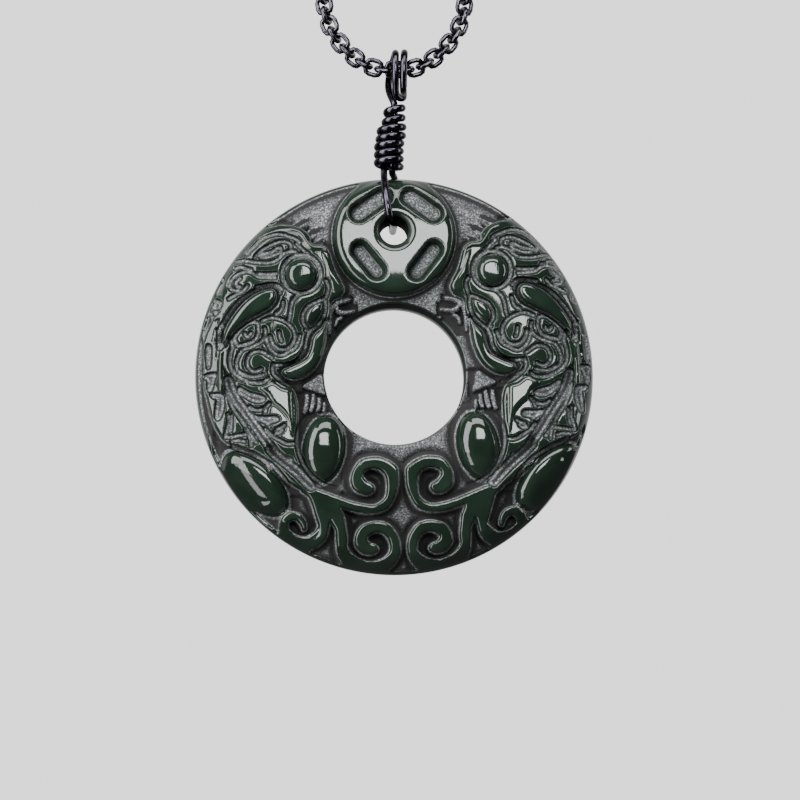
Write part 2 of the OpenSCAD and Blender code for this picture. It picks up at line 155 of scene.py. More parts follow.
# Light matt strips; the last and smallest stands for a glint on the polish: a painted highlight
cheek_bars = [
    [(5.7, 9.2, 0.3), (6.8, 8.9, 0.45), (7.7, 8.3, 0.5), (8.1, 7.3, 0.5), (8.15, 6.2, 0.45),
     (8.1, 5, 0.25)],
    [(5.1, 7.8, 0.3), (6.2, 7.6, 0.4), (7, 7.7, 0.5), (7.3, 8.2, 0.4)],
    [(6.6, 7, 0.25), (7.1, 6.7, 0.35), (7.4, 6, 0.25)]]
# Painted dark all over, as painted shade
crown_bars = [
    [(12.9, 18.3, 0.3), (11.9, 18.9, 0.6), (10.8, 19.5, 0.35)],
    [(10.9, 17.4, 0.3), (10.1, 17.9, 0.6), (9.2, 18.3, 0.35)],
    [(10.2, 16, 0.3), (9.6, 16.4, 0.5), (9, 16.8, 0.3)]]
# Light matt strips that stand for glints on the polish: painted highlights
crown_glints = [
    [(12.9, 17.8, 0.25), (12.1, 18.25, 0.35), (11.3, 18.6, 0.2)],
    [(11.6, 17.3, 0.25), (10.8, 16.9, 0.35), (10.2, 17.1, 0.2)]]
outer_curl = [
    (9.0, -17.2, 1.0), (8.9, -18.8, 1.0), (9.5, -20.1, 1.0), (10.9, -20.9, 1.0),
    (12.5, -20.6, 1.0), (13.6, -19.6, 0.9), (13.7, -18.5, 0.9), (12.9, -17.8, 0.9),
    (12, -17.9, 0.8), (11.4, -18.6, 0.7), (11.2, -19.3, 0.5)]
strips = (
    [(brow, 0.0, 0.4), (outer_curl, -0.25, 0.2)]
    + [(rows, -0.05, 0.5) for rows in rim_feathers])

# Where a matt surface comes in the finish, counted as a distance inside a polished edge:
# frosted close to the edge, then painted dark as painted shade, then paler again towards
# the open ground
FROSTED, PAINTED_SHADE, PALE, OPEN_GROUND = -0.06, -0.3, -1.5, -2.0

# Matt bars, which stand over the ground: rows, top, and the finish of the bar and beside it.
# Beside the haunch and cheek bars the ground is painted dark as painted shade, the crown
# bars are painted dark all over as painted shade, and the crown glints are light matt
# strips that stand for glints on the polish: painted highlights
matt_strips = (
    [(rows, -0.75, FROSTED, PAINTED_SHADE) for rows in haunch_bars + cheek_bars]
    + [(rows, -0.9, PAINTED_SHADE, OPEN_GROUND) for rows in crown_bars]
    + [(rows, -0.8, FROSTED, OPEN_GROUND) for rows in crown_glints])

# A matt facet: outline and top. Round it the ground is painted dark as painted shade
matt_plates = [
    ([(11.4, -1.7), (10.4, -0.9), (9.2, -0.1), (8.85, -1.4), (8.5, -2.7), (9.8, -2.3)], -1.1)]

# Rounded forms: middle, half length, half width, slant in degrees, top, how round its top is,
# how far its shoulder falls, and how much it sinks for each millimetre down
domes = [
    (8.8, -9.5, 4.1, 2.5, 8, 0.25, 0.1, 0.9, 0.05),
    (17.3, -13.7, 4.9, 2.5, -46, 0.25, 0.1, 0.9, 0),
    (EYE_U, EYE_V, 1.85, 1.85, 0, 0.05, 0.03, 0.8, 0.04),
    (10.1, 7.4, 1.55, 0.72, 36, 0.25, 0.3, 0.3, 0)]

# Engraved lines, matt at the bottom: rows, width and depth
eye_ring = [
    (EYE_RING_U + EYE_RING_R * cos(k * pi / 8), EYE_RING_V + EYE_RING_R * sin(k * pi / 8))
    for k in range(17)]
fine_lines = [
    [(18.5, 15), (17.5, 16), (16.8, 16.7), (15.9, 17.2), (14.9, 17.45), (14, 17.4),
     (13.2, 17.1), (12.4, 16.8), (11.9, 16.4)],
    [(12.3, 16.2), (11.9, 15.8), (11.4, 15.3), (10.8, 14.9)],
    [(17.4, 14.6), (16.8, 15.3), (16, 15.8), (15.2, 16.2), (14.2, 16.5), (13.4, 16.4),
     (13, 16), (13, 15.6)],
    [(17, 14.8), (16.2, 15.0), (15.4, 15.2), (14.8, 15.6), (14.3, 15.7), (14.3, 15.2),
     (15, 14.8), (16, 14.5), (16.7, 14.5)],
    [(19.8, 14.1), (18.6, 14.1), (17.4, 13.9), (16.2, 13.8), (15.2, 13.9), (14.5, 14.3),
     (13.9, 14.9), (13.1, 15.2), (12.3, 15.1)],
    [(19.9, 13.2), (19.2, 13.3), (18.5, 13.1), (17.9, 12.9)],
    [(17.2, 12.4), (16.4, 12.35), (15.6, 12.35), (14.8, 12.4)],
    [(14.9, 11.85), (16, 11.9), (17, 12), (17.6, 12.4), (18.3, 12.7), (19.1, 12.6),
     (19.9, 12.2), (20.4, 11.6), (20.6, 10.9), (20.2, 10.4), (19.5, 10.35)],
    [(19.3, 11.9), (19.75, 11.5), (19.8, 11), (19.3, 10.8)],
    [(17.2, 10.7), (16.2, 10.9), (15.2, 11.0), (14.5, 10.8), (14.1, 10.4)],
    [(22, 5.4), (21.3, 6.3), (20.7, 7.3), (20, 8.2), (19.2, 9.1), (18.4, 9.7), (17.3, 10.3),
     (16.2, 10.7), (15.2, 10.8), (14.6, 10.4), (14.3, 9.9)],
    [(20.7, 9.3), (19.8, 9.8), (19, 10.2), (18.4, 10.9)],
    [(16.5, 6.4), (15.8, 6.7), (15, 6.8), (14, 6.5), (13.2, 6), (12.6, 5.2), (12.5, 4.3),
     (12.9, 3.4), (13.6, 2.9), (14.3, 2.9), (14.9, 3.2), (15.3, 3.8), (15.5, 4.5)],
    [(16.2, 5.5), (16.1, 5), (16.3, 4.2), (16.8, 3.7), (17.8, 3.2), (18.8, 2.9)],
    [(16, 4.3), (15.8, 3.5), (15.3, 2.7), (14.6, 2.2), (13.9, 2.2), (13.2, 2.6), (12.5, 3),
     (12.1, 3.7), (11.8, 4.6)],
    [(14.4, 5), (14.3, 4.4), (14.1, 3.9)],
    [(16.6, 0.4), (17.3, 0.1), (17.9, 0.3), (18.3, 0.9), (18.3, 1.6), (17.9, 2.3),
     (17.2, 2.6), (16.4, 2.5), (15.8, 2.1), (15.3, 1.8)],
    [(16.4, -0.3), (17.2, -0.5), (18, -0.5), (18.8, -0.2), (19.5, 0.2), (19.7, 1),
     (19.6, 1.6), (19.3, 2.3), (19, 2.8)],
    [(19.5, 3.3), (19.9, 4.2), (19.5, 5), (18.8, 5.7), (18, 6.2), (17.2, 6.2), (17, 5.5),
     (17, 4.8), (17.5, 4), (18.4, 3.6), (19.5, 3.3)],
    [(18.7, 4.9), (18.3, 4.4), (17.9, 4.9)],
    [(8.6, 11.5), (8.3, 10.8), (8.4, 10), (8.7, 9.3), (9.4, 9), (10.2, 8.6), (10.95, 8.1),
     (11.45, 7.2), (11.45, 6.3), (11, 5.6), (10.7, 5), (11, 4.2), (11.1, 3.2), (11.4, 2.4),
     (12, 1.6), (12.8, 1.1), (13.8, 0.9), (14.8, 0.9)],
    [(11.2, 10.1), (12, 9.7), (12.6, 9.1), (12.9, 8.4), (13, 7.6), (13.1, 6.9), (13.3, 6.3)],
    [(13.9, 8.8), (14, 8.2), (14.3, 7.6), (14.8, 7.3)],
    [(8.75, 9.3), (8.6, 8.3), (8.75, 7.3), (9.1, 6.5), (9.7, 5.8), (10.4, 5.3), (11.1, 5.3)],
    [(15.1, 1), (15.2, 0.2), (14.9, -0.4), (14.3, -0.9), (13.7, -1.3), (13, -1.6), (12.2, -1.6)],
    [(20.9, -2.2), (20.7, -3), (20.3, -4), (19.8, -4.9), (19.2, -5.7), (18.6, -6.6),
     (17.9, -7.7), (17.2, -8.7)],
    [(18.5, -7.1), (18.1, -7.8), (17.9, -8.4), (17.8, -9.1)],
    [(13.7, -6.6), (14.2, -6.9), (14.7, -7.2), (14.7, -7.6), (14.3, -7.5), (14, -7.2)],
    [(16, -7.1), (15.6, -7.5), (15.1, -8), (14.4, -8.4), (13.7, -8.8), (13.1, -8.95), (12.6, -8.9)],
    [(15.6, -3.9), (16, -4.3), (16.6, -4.65), (17.3, -4.7), (18, -4.3)],
    [(16, -4.5), (16.1, -5)],
    [(20.7, -5.2), (20.6, -6.2), (20.85, -7.3), (21, -8), (20.2, -7.95), (19.2, -7.8), (18.4, -7.7)],
    [(20.3, -5.4), (20.3, -6.5), (20.4, -7.3)],
    [(20.2, -8.5), (19.4, -8.45), (18.6, -8.6)]]
deep_lines = [
    eye_ring,
    [(15.8, -0.8), (16.4, -1.25), (17.5, -1.3), (18.6, -0.95), (19.6, -0.4), (20.3, 0.4),
     (20.5, 1.4), (20.4, 2.4), (20.2, 3.4), (20.5, 4.3)],
    [(9, -5.1), (10.1, -5.2), (11, -5.6), (11.7, -6.5), (12, -7.5), (12.1, -8.6), (12, -9.6),
     (11.7, -10.6), (11.2, -11.6), (10.5, -12.6), (9.6, -13.4), (8.5, -14), (7.4, -14.3)],
    [(20.1, -9.1), (19.2, -9.5), (18.2, -9.9), (17.2, -10.35), (16.1, -11), (15.3, -11.5),
     (14.6, -12.2), (13.9, -13), (13.1, -14.1)]]
back_furrow = [
    (20.7, -0.9), (20.4, -1.9), (20, -2.8), (19.4, -3.8), (18.7, -4.7), (18, -5.7),
    (17.3, -6.7), (16.6, -7.7), (15.8, -8.8), (15.1, -9.8)]
belly_furrow = [
    (15.4, -9.6), (14.5, -10.5), (13.3, -11.4), (12.1, -12.4), (11.1, -13.4), (10.4, -14.1)]
engraved = (
    [(rows, 0.32, 0.4) for rows in fine_lines]
    + [(rows, 0.36, 0.5) for rows in deep_lines]
    + [(back_furrow, 1.05, 0.6), (belly_furrow, 1.1, 0.7)])

# Sunk matt facets: outline and depth
facets = [
    ([(19.4, -1.8), (18.7, -2.1), (18, -2.5), (17.2, -2.7), (16.5, -2.9), (16.1, -3.2),
      (16.3, -3.6), (17, -3.75), (17.8, -3.6), (18.6, -3.1), (19.4, -2.6)], 0.3),
    ([(18, -4.9), (17.2, -5.4), (16.4, -5.5), (15.5, -5.5), (14.7, -5.5), (14.4, -5.9),
      (14.8, -6.2), (15.4, -6.3), (15.7, -6.6), (16.4, -6.2), (17.2, -5.8)], 0.3),
    ([(23.5, 3.4), (23.1, 3.6), (22.9, 3.2), (22.9, 2), (23, 0.9), (23.3, 0.6), (23.5, 1.6)], 0.4),
    ([(23.6, -0.2), (22.2, 0), (22.4, -0.8), (22.7, -2), (23.1, -2.3), (23.3, -1.9),
      (23.3, -1), (23.6, -0.7)], 0.3),
    ([(22.2, 9.3), (21.6, 8.9), (21.6, 8.5), (21.9, 8.1), (22.6, 8.1), (22.9, 7.9),
      (22.8, 8.4), (22.4, 9)], 0.3),
    ([(22, 5.5), (21.5, 5.3), (21.4, 4), (21.5, 3), (22, 3), (22.1, 4.2)], 0.3),
    ([(22.95, -2.6), (22.6, -3.1), (22.1, -3.3), (22.25, -4.5), (22.3, -5.5), (22.1, -5.85),
      (21.7, -5.7), (21.4, -5), (21.2, -4), (21.25, -3), (21.6, -2.6), (22.3, -2.55)], 0.3),
    ([(24.4, 5), (24.55, 2), (24.55, -1), (24.3, -4), (23.9, -6), (23.3, -7.7), (23.2, -6.8),
      (23.7, -4.5), (24, -2), (24.05, 1), (24, 3.5)], 0.2),
    ([(15.9, -8.5), (15.2, -9.1), (14.8, -9.9), (14, -10.5), (13, -10.6), (12.7, -11),
      (13.6, -11.2), (15, -10.7)], 0.4)]

# The coin leans back and is domed to these radii. Its four slots: two ends, and half the
# width at the top and at the floor.
COIN_R, COIN_U, COIN_V, COIN_H, COIN_LEAN = 7.45, -0.1, 17.3, 5.15, radians(5.7)
COIN_ROUND_U, COIN_ROUND_V = 130, 50
COIN_LIP, COIN_SOFT_EDGE, SLOT_DEPTH = 0.3, 0.9, 1.2
coin_slots = [
    (-4.5, 20.1, -1.6, 22.2, 1.5, 0.8), (1.9, 22.2, 4.8, 20.1, 1.5, 0.8),
    (-4.4, 15.3, -2.3, 12.7, 1.45, 0.62), (4.8, 15.4, 2.7, 12.6, 1.45, 0.66)]


def front_height(r):
    """The broad round of the front at a radius, and the same with the stone's rounded edge."""
    arc = FRONT_H - FRONT_ARC + np.sqrt(np.maximum(FRONT_ARC ** 2 - (r - CREST_R) ** 2, 0))
    edge = EDGE_H + np.sqrt(np.maximum(EDGE_R ** 2 - (r - EDGE_AT) ** 2, 0))
    return arc, np.where(r < EDGE_AT + 1.2, arc, edge)


def smooth_line(rows, closed=False):
    """A smooth line through the rows, in four steps from each to the next."""
    p = np.array(rows, float)
    n = len(p)
    out = []
    for i in range(n if closed else n - 1):
        a, b, c, d = (
            p[j % n] if closed else p[min(max(j, 0), n - 1)] for j in range(i - 1, i + 3))
        for t in (0, 0.25, 0.5, 0.75):
            out.append((2 * b + (c - a) * t + (2 * a - 5 * b + 4 * c - d) * t ** 2
                        + (3 * b - a - 3 * c + d) * t ** 3) / 2)
    out.append(p[0] if closed else p[-1])
    return np.array(out)


def near_line(points, line, margin):
    """Which points lie near a line, how far off, and the line's width beside them."""
    low = line[:, :2].min(0) - margin
    high = line[:, :2].max(0) + margin
    which = np.nonzero(((points > low) & (points < high)).all(1))[0]
    q = points[which]
    gap = np.full(len(which), 99.0)
    width = np.zeros(len(which))
    for a, b in zip(line[:-1], line[1:]):
        d = b[:2] - a[:2]
        t = np.clip(((q - a[:2]) @ d) / max(d @ d, 1e-9), 0, 1)
        e = np.hypot(*(q - a[:2] - t[:, None] * d).T)
        closer = e < gap
        gap[closer] = e[closer]
        if line.shape[1] > 2:
            width[closer] = (a[2] + (b[2] - a[2]) * t)[closer]
    return which, gap, width


def within(q, line):
    """Which points lie inside a closed line."""
    odd = np.zeros(len(q), bool)
    for a, b in zip(line[:-1], line[1:]):
        if a[1] != b[1]:
            span = (a[1] > q[:, 1]) != (b[1] > q[:, 1])
            odd ^= span & (q[:, 0] < a[0] + (b[0] - a[0]) * (q[:, 1] - a[1]) / (b[1] - a[1]))
    return odd


def soft_step(x, a, b):
    """Rises softly from 0 at a to 1 at b."""
    t = np.clip((x - a) / (b - a), 0, 1)
    return t * t * (3 - 2 * t)


# The slope of the walls round the forms, the depth of the valley beside them, the width of
# a groove's wall, and how far round an outline a form, a strip or a cut is worked out
WALL_SLOPE, VALLEY_DEPTH, GROOVE_WALL = 2.4, 0.45, 0.28
FORM_MARGIN, STRIP_MARGIN, CUT_MARGIN = 1.7, 1.9, 0.6
# The polish of a form, and of a dome, comes this far over its edge
POLISH_OVER, DOME_POLISH_OVER = 0.05, 0.12
# The flanks' tops are given for this v, and rise from there down to the next
FLANK_LEVEL, FLANK_FOOT = -4, -9
# The tails stand higher towards the centre hole, by the square of the way over this
TAIL_FLAT = 60
NO_GROOVE = 3.0


def rounded_top(s, top, soft):
    """Height at a distance s inside an edge: a rounded shoulder, then a steep wall outside."""
    x = np.clip(1 - s / soft, 0, 0.999)
    return top - soft * 0.75 * (1 - np.sqrt(1 - x ** 2)) - WALL_SLOPE * np.maximum(-s, 0)


def relief(u, v):
    """The front's relief in four fields. Height over the plain round. Form, the distance
    inside the polished forms or the place of a matt surface, which also sets where the matt
    ground is painted dark as painted shade. Groove, the place across the nearest groove's
    wall, 0 at its foot and 1 at its top, which also sets the painted shade at its foot. Shade
    depth, 1 on the open ground, by which the matt colour is darkened as painted shade."""
    height = np.full(len(u), GROUND)
    form = np.full(len(u), OPEN_GROUND)
    groove = np.full(len(u), NO_GROOVE)
    side = (u - AXIS_SHIFT) * cos(AXIS_LEAN) + v * sin(AXIS_LEAN)
    c, s = cos(2 * AXIS_LEAN), sin(2 * AXIS_LEAN)
    U = np.where(side > 0, (u - AXIS_SHIFT) * c + v * s - AXIS_SHIFT, -u)
    V = np.where(side > 0, v * c - (u - AXIS_SHIFT) * s, v)
    P = np.stack([U, V], 1)

    def lift(which, new, inside):
        """Raises points to a new height, with its finish, which also places its painted shade,
        where it is higher or further in.
        """
        higher = new > height[which]
        form[which] = np.where(higher | (inside > form[which]), inside, form[which])
        height[which] = np.maximum(height[which], new)

    for rows, top, soft, rise, reach, border in plates:
        line = smooth_line(rows, True)
        which, gap, _ = near_line(P, line, FORM_MARGIN)
        flank = rise * (FLANK_LEVEL - np.clip(V[which], FLANK_FOOT, 0))
        if rows is tail:
            flank = np.maximum(CREST_R - np.hypot(U[which], V[which]), 0) ** 2 / TAIL_FLAT
        inside = np.where(within(P[which], line), gap, -gap) + reach
        # The border is cut half a millimetre wide, with soft sides, and painted dark there as
        # painted shade
        if border:
            height[which] -= border * (1 - soft_step(-inside, 0.35, 0.6))
            form[which] = np.where(inside > -0.5, PAINTED_SHADE, form[which])
        # The valley beside the thin tails is wider, both in its dip and in its painted shade
        field = np.where(inside < 0, 0.75 * inside, inside) if rows is tail else inside
        lift(which, rounded_top(inside, top + flank, soft), field + POLISH_OVER)
    for rows, top, soft in strips:
        which, gap, width = near_line(P, smooth_line(rows), STRIP_MARGIN)
        inside = width / 2 - gap
        lift(which, rounded_top(inside, top, soft), inside + POLISH_OVER)
    for rows, top, finish, beside in matt_strips:
        which, gap, width = near_line(P, smooth_line(rows), CUT_MARGIN)
        inside = width / 2 - gap
        lift(which, rounded_top(inside, top, 0.2), np.where(inside > -0.05, finish, beside))
    for rows, top in matt_plates:
        line = smooth_line(rows, True)
        which, gap, _ = near_line(P, line, CUT_MARGIN)
        inside = np.where(within(P[which], line), gap, -gap)
        lift(which, rounded_top(inside, top, 0.1), np.where(inside > 0, PALE, PAINTED_SHADE))
    out = np.hypot(U - EYE_U, V - EYE_V)
    height -= SOCKET_DEPTH * (1 - soft_step(out, SOCKET_R - SOCKET_SOFT, SOCKET_R + SOCKET_SOFT))
    for du, dv, half_long, half_wide, slant, top, round_top, fall, sink in domes:
        t = radians(slant)
        x = (U - du) * cos(t) + (V - dv) * sin(t)
        y = -(U - du) * sin(t) + (V - dv) * cos(t)
        q = np.hypot(x / half_wide, y / half_long)
        which = np.nonzero(q < 1 + 2 / half_wide)[0]
        q = q[which]
        # The top is round as far as half way out, and from there the shoulder falls too
        x = np.clip((q - 0.5) / 0.5, 0, 0.999)
        cap = round_top * (half_wide * np.minimum(q, 1)) ** 2 + fall * (1 - np.sqrt(1 - x ** 2))
        outside = WALL_SLOPE * half_wide * np.maximum(q - 1, 0)
        new = top - cap - outside + sink * (V[which] - dv)
        lift(which, new, DOME_POLISH_OVER - 0.7 * half_wide * (q - 1))
    # The ground dips into a valley beside each form
    height -= VALLEY_DEPTH * soft_step(form, -0.95, -0.45) * (1 - soft_step(form, -0.15, 0))
    # No cut goes through the ground
    for rows, width, depth in engraved:
        which, gap, _ = near_line(P, smooth_line(rows), width / 2 + CUT_MARGIN)
        cut = depth * (1 - soft_step(gap, width / 2 - 0.15, width / 2 + GROOVE_WALL))
        height[which] = np.maximum(height[which] - cut, GROUND - 0.05)
        groove[which] = np.minimum(groove[which], (gap - width / 2) / GROOVE_WALL)
    for rows, depth in facets:
        line = smooth_line(rows, True)
        which, gap, _ = near_line(P, line, CUT_MARGIN)
        inside = np.where(within(P[which], line), gap, -gap)
        cut = depth * soft_step(inside, -0.25, 0.12)
        height[which] = np.maximum(height[which] - cut, GROUND - 0.05)
        groove[which] = np.minimum(groove[which], -inside / GROOVE_WALL)
    # The coin stands upright in the stone's own middle line, over all that is below it
    du, dv = u - COIN_U, v - COIN_V
    out = np.hypot(du, dv)
    which = np.nonzero(out < COIN_R + 2)[0]
    dome = du ** 2 / (2 * COIN_ROUND_U) + dv ** 2 / (2 * COIN_ROUND_V)
    face = COIN_H - tan(COIN_LEAN) * dv - dome - front_height(np.hypot(u, v))[0]
    groove[out < COIN_R + 0.4] = NO_GROOVE
    inside = COIN_R - out[which]
    # Outside the coin's lip the ground is soon painted dark, as painted shade
    lip = inside + COIN_LIP
    lift(which, rounded_top(inside, face[which], COIN_SOFT_EDGE), np.where(lip < 0, 1.6 * lip, lip))
    Q = np.stack([u, v], 1)
    for au, av, bu, bv, half_top, half_floor in coin_slots:
        which, gap, _ = near_line(Q, np.array([[au, av], [bu, bv]]), half_top + 0.4)
        height[which] -= SLOT_DEPTH * (1 - soft_step(gap, half_floor, half_top))
        across = (gap - half_floor) / (half_top - half_floor)
        groove[which] = np.minimum(groove[which], np.maximum(across, -0.8))
    return height, form, groove, np.clip(height / GROUND, 0, 1)


# The bare polished border outside this radius, narrower by the second value at the bottom
BORDER_R, BORDER_LESS = 24.4, 0.4


def carved_front(u, v):
    """The front's height, averaged over a small patch round each point, and the fields
    that its finish and its painted shade follow."""
    total = np.zeros(len(u))
    patch = [(-0.04, -0.04), (0.04, -0.04), (-0.04, 0.04), (0.04, 0.04)]
    for du, dv in patch:
        h, form, groove, shade_depth = relief(u + du, v + dv)
        arc, round_front = front_height(np.hypot(u + du, v + dv))
        plain = round_front + np.maximum(h, 0)
        total += np.minimum(plain, arc + h)
    form = np.where(plain < arc + h, np.maximum(form, 0.3), form)
    in_border = np.hypot(u, v) - BORDER_R - BORDER_LESS * soft_step(-v, 19, 22)
    form = np.maximum(form, np.minimum(in_border, 0.5))
    return total / len(patch), np.stack([form, groove, shade_depth], 1)


# The mesh is rings of points, each joined to the next, from the front's rim inwards,
# through the centre hole, out over the back and round the edge. The hanging hole takes
# the place of a block of cells, whose outline is drawn out to the hole's mouth.
HOLE_U, HOLE_V, BORE_R, MOUTH_R = -0.1, 17.9, 1.8, 2.75
FRONT_COUNT, INNER_COUNT, BACK_COUNT = 900, 450, 240
POLISHED = (1.0, NO_GROOVE, 0.0)
stone_points, stone_fields, stone_dull, stone_faces = [], [], [], []
stone_count = 0


def add_ring(u, v, h, fields=POLISHED, dull=0.0):
    """New points of the stone, with their finish: their numbers in the mesh."""
    global stone_count
    stone_points.append(np.stack([u, -h, v], 1))
    stone_fields.append(np.broadcast_to(fields, (len(u), 3)))
    stone_dull.append(np.full(len(u), dull))
    stone_count += len(u)
    return np.arange(stone_count - len(u), stone_count)


def join_rings(a, b, leave_out=None):
    """Faces between closed rings a and b, where b lies further along the section."""
    n, m = len(a), len(b)
    if n == m:
        for j in range(n):
            if leave_out is None or j not in leave_out:
                k = (j + 1) % n
                stone_faces.append((a[j], a[k], b[k], b[j]))
        return
    i = j = 0
    while i < n or j < m:
        if j >= m or (i < n and (i + 0.5) * m < (j + 0.5) * n):
            stone_faces.append((a[i], a[(i + 1) % n], b[j % m]))
            i += 1
        else:
            stone_faces.append((a[i % n], b[(j + 1) % m], b[j % m]))
            j += 1


def next_ring(last, r, h, dull=0.0):
    """A plain round ring, joined to the last one."""
    c, s = round_ring(len(h))
    ring = add_ring(r * c, r * s, h, dull=dull)
    join_rings(last, ring)
    return ring


def round_ring(count):
    """Places on a circle of radius 1, from its top."""
    t = pi / 2 + 2 * pi * np.arange(count) / count
    return np.cos(t), np.sin(t)


def open_for_hole(count, radii, row, half_rows, half_columns):
    """Grid rings whose cells round one row, at the top, open out to the hole's mouth. The
    opening fades out at 1.9 times half the block."""
    c, s = round_ring(count)
    column = (np.arange(count) + count // 2) % count - count // 2
    rings = []
    for i, r in enumerate(radii):
        u, v = r * c, r * s
        q = np.maximum(abs(i - row) / half_rows, np.abs(column) / half_columns)
        blend = 1 - soft_step(q, 1.0, 1.9)
        du, dv = u - HOLE_U, v - HOLE_V
        d = np.maximum(np.hypot(du, dv), 1e-6)
        away = (d * (1 - blend) + MOUTH_R * np.maximum(q, 1) * blend) / d
        rings.append((HOLE_U + du * away, HOLE_V + dv * away))
    return rings


def block_outline(rings, row, half_rows, half_columns):
    """Point numbers round the opening, turning as the rings do."""
    low, high = rings[row + half_rows], rings[row - half_rows]
    count = len(low)
    right = [rings[k][(-half_columns) % count] for k in range(row + half_rows, row - half_rows, -1)]
    top = [high[j % count] for j in range(-half_columns, half_columns)]
    left = [rings[k][half_columns] for k in range(row - half_rows, row + half_rows)]
    bottom = [low[j % count] for j in range(half_columns, -half_columns, -1)]
    return right + top + left + bottom


# Front, from the rim inwards: fine cells, and half as many to a ring near the centre hole
rows_out, row_gap = 43, 0.155
front_radii = HOLE_V + row_gap * np.arange(rows_out, -36, -1)
half_rows, half_columns = 16, 20
front_grid = open_for_hole(FRONT_COUNT, front_radii, rows_out, half_rows, half_columns)
c, s = round_ring(INNER_COUNT)
front_grid += [(r * c, r * s) for r in np.linspace(12.34, 9.1, 24)]
u = np.concatenate([ring[0] for ring in front_grid])
v = np.concatenate([ring[1] for ring in front_grid])
h, fields = carved_front(u, v)
front_rings = []
start = 0
for ring in front_grid:
    stop = start + len(ring[0])
    front_rings.append(add_ring(u[start:stop], v[start:stop], h[start:stop], fields[start:stop]))
    start = stop
hole_columns = set(j % FRONT_COUNT for j in range(-half_columns, half_columns))
for k in range(len(front_rings) - 1):
    over_hole = rows_out - half_rows <= k < rows_out + half_rows
    join_rings(front_rings[k], front_rings[k + 1], hole_columns if over_hole else None)

# Centre hole: a small rounded edge at each face and a straight wall
edge = 0.25
front_edge = h[-INNER_COUNT:]
last = front_rings[-1]
for t in (radians(30), radians(60), radians(90)):
    r = CENTRE_HOLE_R + edge * (1 - sin(t))
    last = next_ring(last, r, front_edge - edge * (1 - cos(t)), sin(t) ** 2)


def back_height(r):
    """The back's plain round at a radius, with the stone's rounded edge."""
    arc = BACK_H - np.sqrt(BACK_ARC ** 2 - (r - CREST_R) ** 2)
    rim = EDGE_H - np.sqrt(np.maximum(EDGE_R ** 2 - (r - EDGE_AT) ** 2, 0))
    return np.where(r < EDGE_AT + 0.45, arc, rim)


foot = back_height(CENTRE_HOLE_R + edge) + edge
top = front_edge.min() - 1.0
for h_wall in (top, (top + foot) / 2):
    last = next_ring(last, CENTRE_HOLE_R, np.full(BACK_COUNT, h_wall), 1)
for t in (radians(90), radians(60), radians(30)):
    r = CENTRE_HOLE_R + edge * (1 - sin(t))
    last = next_ring(last, r, np.full(BACK_COUNT, foot - edge * cos(t)))

# Back, outwards: plain and polished, with finer rows round the hanging hole
for r in (9.5, 10.5, 11.6, 12.6):
    last = next_ring(last, r, np.full(BACK_COUNT, back_height(r)))
back_rows, back_gap, back_half = 9, 0.48, 5
back_radii = HOLE_V + back_gap * np.arange(-back_rows, back_rows + 1)
back_rings = []
for u, v in open_for_hole(BACK_COUNT, back_radii, back_rows, back_half, back_half):
    back_rings.append(add_ring(u, v, back_height(np.hypot(u, v))))
join_rings(last, back_rings[0])
hole_columns = set(j % BACK_COUNT for j in range(-back_half, back_half))
for k in range(len(back_rings) - 1):
    over_hole = back_rows - back_half <= k < back_rows + back_half
    join_rings(back_rings[k], back_rings[k + 1], hole_columns if over_hole else None)
last = back_rings[-1]

# Round edge, back to the front's first ring
for t in np.linspace(radians(152), radians(70), 10):
    last = next_ring(last, EDGE_AT + EDGE_R * sin(t), np.full(INNER_COUNT, EDGE_H + EDGE_R * cos(t)))
join_rings(last, front_rings[0])

# Hanging hole: eased mouths at both faces and a straight bore between them
all_points = np.concatenate(stone_points)
ease = MOUTH_R - BORE_R


def mouth_rings(outline, way):
    """Rings that ease from an outline on one face into the bore. Way is 1 from the front
    and -1 from the back."""
    rings = [np.array(outline)]
    p = all_points[outline]
    du, dv, face = p[:, 0] - HOLE_U, p[:, 2] - HOLE_V, -p[:, 1]
    for t in (radians(18), radians(36), radians(54), radians(72), radians(90)):
        scale = (MOUTH_R - ease * sin(t)) / MOUTH_R
        level = face + (face.mean() - face) * sin(t)
        rings.append(add_ring(
            HOLE_U + du * scale, HOLE_V + dv * scale, level - way * ease * (1 - cos(t)),
            dull=sin(t) ** 2))
    return rings


front_mouth = mouth_rings(block_outline(front_rings, rows_out, half_rows, half_columns), 1)
# On the back the rows run the other way, so the outline is read from them in that order
back_mouth = mouth_rings(block_outline(back_rings[::-1], back_rows, back_half, back_half), -1)
for k in range(5):
    join_rings(front_mouth[k], front_mouth[k + 1])
join_rings(front_mouth[-1], back_mouth[-1])
for k in range(5, 0, -1):
    join_rings(back_mouth[k], back_mouth[k - 1])

points = np.concatenate(stone_points) * 0.001
points[:, 2] += STONE_MIDDLE.z
stone_mesh = bpy.data.meshes.new("carved_stone")
stone_mesh.from_pydata(points.tolist(), [], [[int(i) for i in f] for f in stone_faces])
stone_mesh.validate()
stone_mesh.shade_smooth()
fields = np.concatenate(stone_fields).T
for name, field in (
        ("form", fields[0]), ("groove", fields[1]), ("shade_depth", fields[2]),
        ("dull", np.concatenate(stone_dull))):
    attribute = stone_mesh.attributes.new(name, "FLOAT", "POINT")
    attribute.data.foreach_set("value", field.astype(np.float32))
stone = bpy.data.objects.new("carved_stone", stone_mesh)
bpy.context.scene.collection.objects.link(stone)


def link(tree, *ends):
    """Joins sockets in pairs: from, to, from, to. A node stands for its first socket."""
    for a, b in zip(ends[::2], ends[1::2]):
        tree.links.new(
            a.outputs[0] if isinstance(a, bpy.types.Node) else a,
            b.inputs[0] if isinstance(b, bpy.types.Node) else b)


